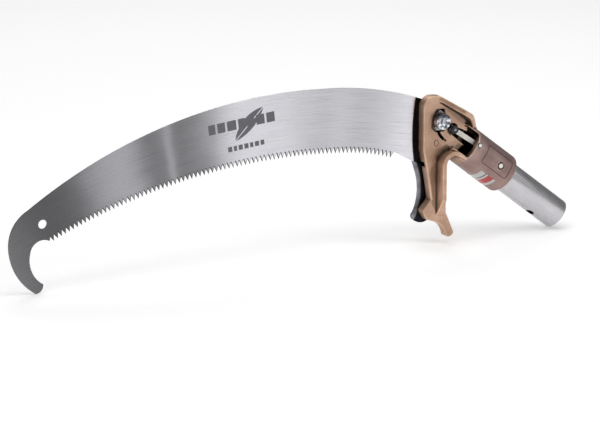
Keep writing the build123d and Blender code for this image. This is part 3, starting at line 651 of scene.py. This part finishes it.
def drawn_metal(name, colour, along, fine, roughness, metallic=1.0, inner_shade_radius=0):
    """Metal with fine lines along the pole; within a given radius of the pole's axis it is painted near black, a
    painted shade inside the tube.
    """
    finish = Finish(name, colour, metallic=metallic, roughness=roughness)
    lines = finish.grain((along, fine, fine), 4.0, 0.6, POLE_TURN)
    cloud = finish.grain((90, 90, 90), 2.0)
    darker = tuple(0.80 * c for c in colour)
    tone = finish.ramp(lines, (0.25, darker), (0.75, colour))
    soft = finish.ramp(cloud, (0.3, (0.92, 0.92, 0.93)), (0.7, (1, 1, 1)))
    metal = finish.mix(1.0, tone, soft, "MULTIPLY")
    if inner_shade_radius:
        off_axis = finish.away_from((0, 0, 0), UP_POLE)
        inside = finish.remap(off_axis, inner_shade_radius - 0.4, inner_shade_radius, 1.0, 0.0)
        # painted shade: near black inside the tube
        metal = finish.mix(inside, metal, (0.05, 0.05, 0.055))
    finish.colour(metal)
    finish.rough(finish.remap(lines, 0.3, 0.7, roughness - 0.07, roughness + 0.09))
    finish.bump(lines, 0.22, 0.00006)
    return finish.material


def nylon():
    finish = Finish("nylon", (0.72, 0.73, 0.74), roughness=0.5)
    cloud = finish.grain((400, 400, 400), 2.0)
    finish.colour(finish.ramp(cloud, (0.3, (0.62, 0.63, 0.64)), (0.7, (0.78, 0.79, 0.80))))
    finish.bump(cloud, 0.1, 0.0001)
    finish.set(Subsurface_Weight=0.1)
    return finish.material


def label_print(low, high):
    """Vinyl with plain colour blocks across the pole, between two distances up it in mm."""
    finish = Finish("label_print", (0.6, 0.6, 0.6), roughness=0.35)
    print_grain = finish.grain((1800, 1800, 1800), 2.0)
    place = finish.remap(finish.along(UP_POLE), low, high, 0.0, 1.0)
    blocks = finish.ramp(place, (0.0, (0.60, 0.60, 0.60)), (0.16, (0.50, 0.03, 0.035)),
                         (0.52, (0.66, 0.66, 0.65)), (0.62, (0.16, 0.16, 0.17)),
                         (0.70, (0.62, 0.62, 0.62)), kind="CONSTANT")
    grain = finish.ramp(print_grain, (0.3, (0.82, 0.82, 0.82)), (0.7, (1, 1, 1)))
    finish.colour(finish.mix(1.0, blocks, grain, "MULTIPLY"))
    finish.bump(print_grain, 0.08, 0.00004)
    finish.set(Coat_Weight=0.4, Coat_Roughness=0.2)
    return finish.material


STAINLESS = drawn_metal("stainless_strip", (1.0, 0.96, 0.89), 40, 1500, 0.40, metallic=0.2)
TUBE_METAL = drawn_metal("drawn_aluminium", (0.66, 0.645, 0.67), 30, 1700, 0.30, inner_shade_radius=15.6)
NYLON = nylon()
label_reach = [v.co.dot(UP_POLE) / MM for v in nodes["warning_label"].data.vertices]
LABEL = label_print(min(label_reach), max(label_reach))
print("strip, tube, nylon and vinyl ready")

# %% [markdown]
# A few helpers carry CAD shapes into Blender.  A CAD mesh arrives as loose triangles, so a copy is
# merged first and its flat areas are dissolved back into whole faces.  After that a bevel can
# follow the true edges.  The CAD object itself is never touched; the copy replaces it.

# %% Copying a CAD node
MERGE = 1e-6
FLAT = math.radians(1.0)


def link(mesh, name):
    obj = bpy.data.objects.new(name, mesh)
    bpy.context.scene.collection.objects.link(obj)
    return obj


def close_mesh(bm, name):
    """A new object from a finished edit mesh."""
    mesh = bpy.data.meshes.new(name)
    bm.to_mesh(mesh)
    bm.free()
    return link(mesh, name)


def shade(obj, angle):
    """Smooth shading with sharp edges kept above the given angle."""
    mesh = obj.data
    bm = bmesh.new()
    bm.from_mesh(mesh)
    for face in bm.faces:
        face.smooth = True
    limit = math.radians(angle)
    for edge in bm.edges:
        edge.smooth = len(edge.link_faces) == 2 and edge.calc_face_angle(0.0) < limit
    bm.to_mesh(mesh)
    bm.free()


def merged_copy(node, name, dissolve=True):
    bm = bmesh.new()
    bm.from_mesh(nodes[node].data)
    bmesh.ops.remove_doubles(bm, verts=bm.verts, dist=MERGE)
    if dissolve:
        bmesh.ops.dissolve_limit(bm, angle_limit=FLAT, verts=bm.verts, edges=bm.edges)
    return close_mesh(bm, name)


def apply_modifiers(obj):
    """Replaces an object's mesh by its evaluated one and drops the modifiers."""
    graph = bpy.context.evaluated_depsgraph_get()
    graph.update()
    result = bpy.data.meshes.new_from_object(obj.evaluated_get(graph))
    obj.modifiers.clear()
    obj.data = result
    return obj


def round_edges(obj, width, segments, angle):
    """Bevels the edges that are sharper than angle, width in mm."""
    bevel = obj.modifiers.new("round", "BEVEL")
    bevel.width = width * MM
    bevel.segments = segments
    bevel.limit_method = "ANGLE"
    bevel.angle_limit = math.radians(angle)
    apply_modifiers(obj)


def put_on(obj, material):
    obj.data.materials.clear()
    obj.data.materials.append(material)


def rounded_copy(node, name, material, width, segments=2, body="head"):
    """A CAD node's shape with its edges rounded and a finish put on."""
    piece = merged_copy(node, name)
    round_edges(piece, width, segments, 32)
    put_on(piece, material)
    shade(piece, 40)
    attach(piece, body)
    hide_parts(node)
    return piece


print("copy helpers ready")

# %% [markdown]
# The casting is thick, with every corner rounded by the sand mould.  A bevel can't do that
# where many walls meet, so the merged copy is remeshed into small even cells and relaxed: each
# pass pulls a point towards its neighbours, which rounds edges and leaves flat faces flat.

# %% Casting: remesh and relax
def cast_shape(node, name, cell, passes):
    piece = merged_copy(node, name, dissolve=False)
    remesh = piece.modifiers.new("cells", "REMESH")
    remesh.mode = "VOXEL"
    remesh.voxel_size = cell * MM
    apply_modifiers(piece)
    smooth = piece.modifiers.new("relax", "SMOOTH")
    smooth.factor = 0.5
    smooth.iterations = passes
    apply_modifiers(piece)
    return piece


CELL = 0.7                  # mm
casting = cast_shape("head_casting", "cast_head", CELL, 4)
print("casting faces", len(casting.data.polygons))

# %% [markdown]
# Worn paint needs to know where the edges are.  For each point, the average of its neighbours
# lies below the surface at an outside edge and above it in a corner.  That distance, spread by a
# few rounds of averaging, becomes an attribute that the paint reads.  Hollows are found another
# way: a fan of short rays leaves each point, and the share that meets the casting again says how
# shut in the point is.

# %% Edge wear and hollows from the shape
def store(mesh, name, values):
    mesh.attributes.new(name, "FLOAT", "POINT").data.foreach_set("value", values)


def height_over_neighbours(bm, rounds):
    """Height in mm of each point over the average around it: above 0 on edges, below 0 in corners."""
    near = [[e.other_vert(v).index for e in v.link_edges] for v in bm.verts]
    places = [v.co.copy() for v in bm.verts]
    for _ in range(rounds):
        places = [sum((places[n] for n in around), places[i].copy()) / (len(around) + 1)
                  for i, around in enumerate(near)]
    return [(v.co - place).dot(v.normal) / MM for v, place in zip(bm.verts, places)]


def share(value, low, high):
    return min(1.0, max(0.0, (value - low) / (high - low)))


def ray_fan(count):
    """Directions spread over a half sphere about +Z, closer together near its top."""
    fan = []
    for i in range(count):
        rise = math.sqrt((i + 0.5) / count)
        turn = i * math.pi * (3 - math.sqrt(5))
        flat = math.sqrt(1 - rise * rise)
        fan.append(Vector((flat * math.cos(turn), flat * math.sin(turn), rise)))
    return fan


def hollows(bm, reach, rays):
    tree = BVHTree.FromBMesh(bm)
    fan = ray_fan(rays)
    shut = []
    for v in bm.verts:
        turn = Vector((0, 0, 1)).rotation_difference(v.normal).to_matrix()
        start = v.co + v.normal * (0.3 * MM)
        hits = sum(tree.ray_cast(start, turn @ way, reach * MM)[0] is not None for way in fan)
        shut.append(hits / rays)
    return shut


CORNER_SHADE = 0.62          # a sharp inside corner counts as this shut in, for the painted shade
EDGE_HEIGHTS = (0.10, 0.42)     # mm over the neighbours, from no wear to full wear
CORNER_DEPTHS = (0.025, 0.13)   # mm under them, from no painted shade to full painted shade
RAY_REACH = 34.0                # mm
RAYS = 12


def read_shape(obj):
    bm = bmesh.new()
    bm.from_mesh(obj.data)
    bm.normal_update()
    bm.verts.ensure_lookup_table()
    height = height_over_neighbours(bm, 5)
    wear = [share(h, *EDGE_HEIGHTS) for h in height]
    # hollows and sharp inside corners both set how much painted shade the paint gets
    shut = [max(hits, share(-h, *CORNER_DEPTHS) * CORNER_SHADE)
            for hits, h in zip(hollows(bm, RAY_REACH, RAYS), height)]
    bm.free()
    store(obj.data, "edge_wear", wear)
    store(obj.data, "hollow", shut)
    return sum(wear) / len(wear), sum(shut) / len(shut)


print("mean wear and hollow", [round(v, 3) for v in read_shape(casting)])
for face in casting.data.polygons:
    face.use_smooth = True
put_on(casting, BRONZE)
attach(casting, "head")
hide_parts("head_casting")

# %% [markdown]
# The blade is cut from sheet.  Its outline without the teeth is the CAD outline with the tooth
# tips and gullets pulled to a line just above the gullets, so the plate stays in place and the
# teeth can be made as ground solids of their own.  A narrow bevel gives the spine and the hook a bright edge.

# %% Blade plate
def height_above_teeth(point):
    """Distance in mm from the tooth line of a point near it, or None away from the toothed run."""
    local = (point - PIVOT) / MM
    heel_centre = Vector((HEEL_CENTRE[0], 0, HEEL_CENTRE[1]))
    main_centre = (SWEEP_CENTRE - PIVOT) / MM
    tip_turn = JOINT_TURN - (CUT_LENGTH - HEEL_RUN) / CUT_RADIUS
    for centre, radius, low, high in ((heel_centre, HEEL_RADIUS, JOINT_TURN, HEEL_FALL),
                                      (main_centre, CUT_RADIUS, tip_turn, JOINT_TURN)):
        away = Vector((local.x - centre.x, 0, local.z - centre.z))
        turn = math.atan2(away.x, away.z)
        if low <= turn <= high:
            return away.length - radius, away.normalized()
    return None, None


PLATE_EDGE = 1.0            # the plate stops this far above the gullets, inside the teeth


def blade_plate():
    bm = bmesh.new()
    bm.from_mesh(nodes["blade"].data)
    bmesh.ops.remove_doubles(bm, verts=bm.verts, dist=MERGE)
    pulled = 0
    for v in bm.verts:
        height, outward = height_above_teeth(v.co)
        if height is not None and height < TOOTH_DEPTH + 0.5:
            v.co += outward * ((TOOTH_DEPTH + PLATE_EDGE - height) * MM)
            pulled += 1
    bmesh.ops.dissolve_degenerate(bm, edges=bm.edges, dist=1e-5)
    bmesh.ops.dissolve_limit(bm, angle_limit=FLAT, verts=bm.verts, edges=bm.edges)
    plate = close_mesh(bm, "blade_plate")
    round_edges(plate, 0.22, 2, 60)
    put_on(plate, STEEL)
    shade(plate, 30)
    for face in plate.data.polygons:
        face.use_smooth = abs(face.normal.y) < 0.999
    return plate, pulled


plate, pulled = blade_plate()
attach(plate, "blade")
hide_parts("blade")
print("blade plate faces", len(plate.data.polygons), "tips pulled back", pulled)

# %% [markdown]
# Each tooth is the same small solid: a triangle as thick as the blade with both flanks ground
# back to a cutting edge, deep on one side and lightly on the other.  Every second tooth has its
# deep side on the other face of the blade.  A repeat like this is a job for Geometry Nodes: points
# along the root line, one tooth on each, and a half turn on the odd ones.

# %% One tooth
PITCH = CUT_LENGTH / TOOTH_COUNT
TOOTH_BODY = 4.2            # the tooth's solid reaches this far above the gullet
GRIND_RISE = 3.2            # and its deep ground facets this far
LIGHT_RISE = 2.0            # the light ones reach this far
DEEP_REACH = 0.62           # share of the tooth's depth that is left on the deep side
LIGHT_REACH = 0.72          # and on the light side
PROUD = 0.02                # the teeth stand this far out of the plate's faces


def tooth_mesh():
    """Tooth hanging from its root line, X along the line and Z towards the spine, in metres."""
    half = PITCH / 2
    thick = BLADE_HALF + PROUD

    def outline(y, rise, reach):
        profile = ((-half, TOOTH_BODY), (half, TOOTH_BODY), (half, rise), (0, -TOOTH_DEPTH * reach),
                   (-half, rise))
        return [(x * MM, y * MM, z * MM) for x, z in profile]

    rings = [outline(thick, LIGHT_RISE, LIGHT_REACH), outline(0.0, 0.0, 1.0),
             outline(-thick, GRIND_RISE, DEEP_REACH)]
    count = len(rings[0])
    points = sum(rings, [])
    faces = [tuple(range(count)), tuple(range(3 * count - 1, 2 * count - 1, -1))]
    for ring in (0, count):
        faces += [(ring + i, ring + i + count, ring + (i + 1) % count + count, ring + (i + 1) % count)
                  for i in range(count)]
    mesh = bpy.data.meshes.new("tooth")
    mesh.from_pydata(points, [], faces)
    bm = bmesh.new()
    bm.from_mesh(mesh)
    bmesh.ops.recalc_face_normals(bm, faces=bm.faces)
    bm.to_mesh(mesh)
    bm.free()
    facets = [abs(face.normal.y) < 0.999 and face.center.z < GRIND_RISE * MM for face in mesh.polygons]
    mesh.attributes.new("ground", "BOOLEAN", "FACE").data.foreach_set("value", facets)
    return mesh


one_tooth = link(tooth_mesh(), "one_tooth")
print("tooth faces", len(one_tooth.data.polygons))

# %% The tooth row as Geometry Nodes
def socket_id(group, name):
    return next(i.identifier for i in group.interface.items_tree if i.name == name)


def geometry_group(name, inputs, output):
    """Geometry Nodes tree with named inputs, a call that adds a node to it, and the inputs' sockets."""
    group = bpy.data.node_groups.new(name, "GeometryNodeTree")
    for label, kind in inputs.items():
        group.interface.new_socket(label, in_out="INPUT", socket_type="NodeSocket" + kind)
    group.interface.new_socket(output, in_out="OUTPUT", socket_type="NodeSocketGeometry")

    def step(kind, values, **settings):
        """Adds a node; a value that is a socket is linked, and any other is set."""
        node = group.nodes.new(kind)
        for setting, choice in settings.items():
            setattr(node, setting, choice)
        for socket, value in values.items():
            if isinstance(value, bpy.types.NodeSocket):
                group.links.new(value, node.inputs[socket])
            else:
                node.inputs[socket].default_value = value
        return node.outputs

    return group, step, step("NodeGroupInput", {})


def tooth_row_tree():
    inputs = {"Root line": "Geometry", "Tooth": "Object", "Plain finish": "Material",
              "Ground finish": "Material"}
    group, step, start = geometry_group("tooth_row", inputs, "Teeth")
    tooth = step("GeometryNodeObjectInfo", {"Object": start["Tooth"]})
    index = step("GeometryNodeInputIndex", {})
    odd = step("ShaderNodeMath", {0: index[0], 1: 2}, operation="MODULO")
    half_turn = step("ShaderNodeMath", {0: odd[0], 1: math.pi}, operation="MULTIPLY")
    slope = step("GeometryNodeInputNamedAttribute", {"Name": "slope"}, data_type="FLOAT")
    spin = step("ShaderNodeCombineXYZ", {"Z": half_turn[0]})
    lean = step("ShaderNodeCombineXYZ", {"Y": slope["Attribute"]})
    place = step("GeometryNodeInstanceOnPoints",
                 {"Points": start["Root line"], "Instance": tooth["Geometry"], "Rotation": lean[0]})
    flip = step("GeometryNodeRotateInstances",
                {"Local Space": True, "Instances": place["Instances"], "Rotation": spin[0]})
    real = step("GeometryNodeRealizeInstances", {"Geometry": flip["Instances"]})
    plain = step("GeometryNodeSetMaterial", {"Geometry": real[0], "Material": start["Plain finish"]})
    facets = step("GeometryNodeInputNamedAttribute", {"Name": "ground"}, data_type="BOOLEAN")
    ground = step("GeometryNodeSetMaterial", {"Geometry": plain[0], "Selection": facets["Attribute"],
                                              "Material": start["Ground finish"]})
    step("NodeGroupOutput", {"Teeth": ground[0]})
    return group


def tooth_row():
    points, slopes = [], []
    for i in range(TOOTH_COUNT):
        tip, normal = tooth_line((i + 0.5) * PITCH)
        points.append(PIVOT + (tip + normal * TOOTH_DEPTH) * MM)
        slopes.append(math.atan2(normal.x, normal.z))
    mesh = bpy.data.meshes.new("root_line")
    mesh.from_pydata([tuple(p) for p in points], [], [])
    mesh.attributes.new("slope", "FLOAT", "POINT").data.foreach_set("value", slopes)
    row = link(mesh, "blade_teeth")
    group = tooth_row_tree()
    modifier = row.modifiers.new("teeth", "NODES")
    modifier.node_group = group
    modifier[socket_id(group, "Tooth")] = one_tooth
    modifier[socket_id(group, "Plain finish")] = STEEL
    modifier[socket_id(group, "Ground finish")] = FLANK
    apply_modifiers(row)
    return row


teeth = tooth_row()
bpy.data.objects.remove(one_tooth)
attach(teeth, "blade")
print("teeth faces", len(teeth.data.polygons))

# %% [markdown]
# The rest of the hardware is machined or pressed, so the CAD shapes are already right.  What a
# machined part has and a CAD solid lacks is a broken edge that catches the light: a bevel of a
# few tenths of a millimetre on every sharp edge, and its own finish.

# %% Fixed hardware
def centre_of(node):
    low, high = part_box(node)
    return (Vector(low) + Vector(high)) / 2


SMALL_RIVET = rivet_metal("small_rivet", centre_of("spring_rivet"), 1.5, 2.5)
BIG_RIVET = rivet_metal("big_rivet", centre_of("tube_rivet"), 1.9, 2.9)
fixed = [
    rounded_copy("undercut_knife", "hooked_knife", KNIFE, 0.5, 3),
    rounded_copy("knife_screws", "knife_screw_pair", ZINC, 0.3),
    rounded_copy("pivot_bush", "bush", ZINC, 0.2),
    rounded_copy("lock_plate", "locking_plate", BARE, 0.3),
    rounded_copy("pivot_bolt", "hex_bolt", CHROME, 1.8, 5),
    rounded_copy("back_washer", "washer", ZINC, 0.25),
    rounded_copy("lock_nut", "hex_nut", ZINC, 0.5, 3),
    rounded_copy("nut_insert", "nylon_ring", NYLON, 0.25),
    rounded_copy("spring_rivet", "strip_rivet", SMALL_RIVET, 0.5, 3),
    rounded_copy("tube_rivet", "cross_rivet", BIG_RIVET, 0.5, 3),
    rounded_copy("ferrule_tube", "tube", TUBE_METAL, 0.35, 3),
    rounded_copy("warning_label", "label", LABEL, 0.05, 1),
]
print("fixed pieces", len(fixed), "faces", sum(len(piece.data.polygons) for piece in fixed))

# %% [markdown]
# The knob and its pin are pulled out together, so both ride on the latch.  The strip that
# presses on them is held by its rivet at one end and lifts with the knob at the other.  A bend
# needs points to bend at, so the strip is cut across every millimetre and a half.

# %% Latch and strip
knob = rounded_copy("latch_knob", "knob", BLACK, 0.5, 4, body="latch")
pin = rounded_copy("latch_pin", "pin", BARE, 0.25, 3, body="latch")


def spring_strip(name, step):
    start = centre_of("spring_rivet")
    end = centre_of("latch_knob")
    run = Vector((end.x - start.x, 0, end.z - start.z))
    strip = merged_copy("leaf_spring", name)
    round_edges(strip, 0.15, 2, 40)
    bm = bmesh.new()
    bm.from_mesh(strip.data)
    for i in range(1, int(run.length / MM / step)):
        cut = start + run.normalized() * (i * step * MM)
        bmesh.ops.bisect_plane(bm, geom=bm.verts[:] + bm.edges[:] + bm.faces[:], plane_co=cut,
                               plane_no=run.normalized())
    bm.to_mesh(strip.data)
    bm.free()
    put_on(strip, STAINLESS)
    shade(strip, 40)
    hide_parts("leaf_spring")
    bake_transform(strip)
    return strip


strip = spring_strip("spring_strip", 1.5)
print("strip faces", len(strip.data.polygons))

# %% [markdown]
# A thin raised line frames a plain panel on the socket's near side, and a small ring from the
# mould stands on the web.  The frame follows the round of the socket, so its points are laid out
# flat, along the pole and round it, and then wrapped.  Geometry Nodes turns each closed line into a
# bead: a curve with a small round profile.

# %% Beads on the casting
PANEL_ALONG = (88.0, 123.0)     # mm up the pole
PANEL_ROUND = (-16.0, 40.0)     # degrees above the socket's near side
PANEL_CORNER = 3.0
PANEL_BEAD = 0.38
RING_MIDDLE = (-4, -23)         # mm from the pivot
RING_HALF = (2.3, 3.2)
RING_DEPTH = 12.5
RING_BEAD = 0.34
BEAD_SHADE = 0.52               # how shut in the paint takes a bead to be, which paints the beads in shade


def socket_point(distance, degrees_round, radius):
    """Point on the socket: distance up the pole, degrees above its near side."""
    turn = math.radians(degrees_round)
    return on_pole(distance, radius * math.sin(turn), radius * math.cos(turn))


def rounded_outline(low, high, bottom, top, corner, per_corner):
    """Closed rectangle with round corners; corner is its radius in the first unit."""
    squash = (top - bottom) / (high - low) * 0.7
    points = []
    for i, (x, y) in enumerate(((high, top), (low, top), (low, bottom), (high, bottom))):
        inner_x = x - corner if x == high else x + corner
        inner_y = y - corner * squash if y == top else y + corner * squash
        for k in range(per_corner + 1):
            turn = math.radians(90 * (i + k / per_corner))
            points.append((inner_x + corner * math.cos(turn), inner_y + corner * squash * math.sin(turn)))
    return points


def bead_tree():
    inputs = {"Line": "Geometry", "Radius": "Float", "Finish": "Material"}
    group, step, start = geometry_group("bead", inputs, "Bead")
    curve = step("GeometryNodeMeshToCurve", {"Mesh": start["Line"]})
    profile = step("GeometryNodeCurvePrimitiveCircle", {"Resolution": 8, "Radius": start["Radius"]})
    tube = step("GeometryNodeCurveToMesh", {"Curve": curve["Curve"], "Profile Curve": profile["Curve"]})
    real = step("GeometryNodeRealizeInstances", {"Geometry": tube["Mesh"]})
    paint = step("GeometryNodeSetMaterial", {"Geometry": real[0], "Material": start["Finish"]})
    step("NodeGroupOutput", {"Bead": paint[0]})
    return group


BEAD = bead_tree()


def bead(name, points, radius, finish):
    mesh = bpy.data.meshes.new(name)
    count = len(points)
    mesh.from_pydata([tuple(p) for p in points], [(i, (i + 1) % count) for i in range(count)], [])
    line = link(mesh, name)
    modifier = line.modifiers.new("bead", "NODES")
    modifier.node_group = BEAD
    modifier[socket_id(BEAD, "Radius")] = radius * MM
    modifier[socket_id(BEAD, "Finish")] = finish
    return apply_modifiers(line)


outline = rounded_outline(*PANEL_ALONG, *PANEL_ROUND, PANEL_CORNER, 6)
dense = []
for (x0, y0), (x1, y1) in zip(outline, outline[1:] + outline[:1]):
    parts = max(1, int(abs(y1 - y0) / 4))
    dense += [(x0 + (x1 - x0) * k / parts, y0 + (y1 - y0) * k / parts) for k in range(parts)]
panel = bead("panel_bead", [socket_point(x, y, SOCKET_R) for x, y in dense], PANEL_BEAD, BRONZE)
ring = [from_pivot(RING_MIDDLE[0] + RING_HALF[0] * math.cos(t), RING_MIDDLE[1] + RING_HALF[1] * math.sin(t),
                   RING_DEPTH) for t in (math.radians(30 + 15 * i) for i in range(24))]
mould_ring = bead("mould_ring", ring, RING_BEAD, BRONZE)
for piece in (panel, mould_ring):
    for face in piece.data.polygons:
        face.use_smooth = True
    # painted shade: the beads get a fixed hollow value, so the paint goes dark on them
    store(piece.data, "hollow", [BEAD_SHADE] * len(piece.data.vertices))
    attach(piece, "head")
print("panel bead faces", len(panel.data.polygons))

# %% [markdown]
# The mark etched in the blade is dull and dark.  It is made as a skin a few hundredths of a
# millimetre thick on the plate: a plain leaf of two halves over two rows of plain bars.

# %% Etched mark
SKIN = 0.04
MARK_LEAF = ((-224, 0), (-194, 31))     # in mm from the pivot
MARK_ROW = (-253, 8)
MARK_SMALL_ROW = (-232, -11)
MARK_WAY = (74, 8)
MARK_BULGES = (7.0, -5.0)               # the leaf's upper and lower half
BARS = (7.5, 8.5, 10.0, 7.5, 8.0, 9.0, 9.0)
SMALL_BARS = (4.5, 3.5, 4.5, 4.5, 3.5, 4.5, 4.0)


def skin_block(bm, outline, skin=SKIN):
    """Adds a thin closed plate on the near face; outline is in mm from the pivot."""
    depth = BLADE_HALF + skin
    faces = []
    for d in (BLADE_HALF - SKIN, depth):
        faces.append([bm.verts.new(from_pivot(x, z, d)) for x, z in outline])
    low, high = faces
    bm.faces.new(high)
    bm.faces.new(list(reversed(low)))
    for i in range(len(low)):
        j = (i + 1) % len(low)
        bm.faces.new((low[i], low[j], high[j], high[i]))


def leaf_half(base, tip, bulge, points):
    """Half of a pointed leaf: a straight rib and a bulging side."""
    base, tip = Vector(base), Vector(tip)
    rib = tip - base
    side = Vector((-rib.y, rib.x)).normalized() * bulge
    gap = side.normalized() * 0.5
    curve = [base + rib * t + side * math.sin(math.pi * t) ** 0.8 + gap
             for t in (i / points for i in range(points + 1))]
    return [tuple(p) for p in curve]


def bar_row(start, direction, widths, gap, height):
    along = Vector(direction).normalized()
    up = Vector((-along.y, along.x)) * height
    place = Vector(start)
    bars = []
    for width in widths:
        end = place + along * width
        bars.append([tuple(place), tuple(end), tuple(end + up), tuple(place + up)])
        place = end + along * gap
    return bars


def etched_mark():
    bm = bmesh.new()
    for bulge in MARK_BULGES:
        skin_block(bm, leaf_half(MARK_LEAF[0], MARK_LEAF[1], bulge, 12), 2 * SKIN)
    for outline in bar_row(MARK_ROW, MARK_WAY, BARS, 2.2, 10.0):
        skin_block(bm, outline)
    for outline in bar_row(MARK_SMALL_ROW, MARK_WAY, SMALL_BARS, 1.8, 5.0):
        skin_block(bm, outline)
    bmesh.ops.recalc_face_normals(bm, faces=bm.faces)
    mark = close_mesh(bm, "etched_mark")
    mark.data.materials.append(ETCH)
    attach(mark, "blade")
    return mark


mark = etched_mark()
print("mark faces", len(mark.data.polygons))
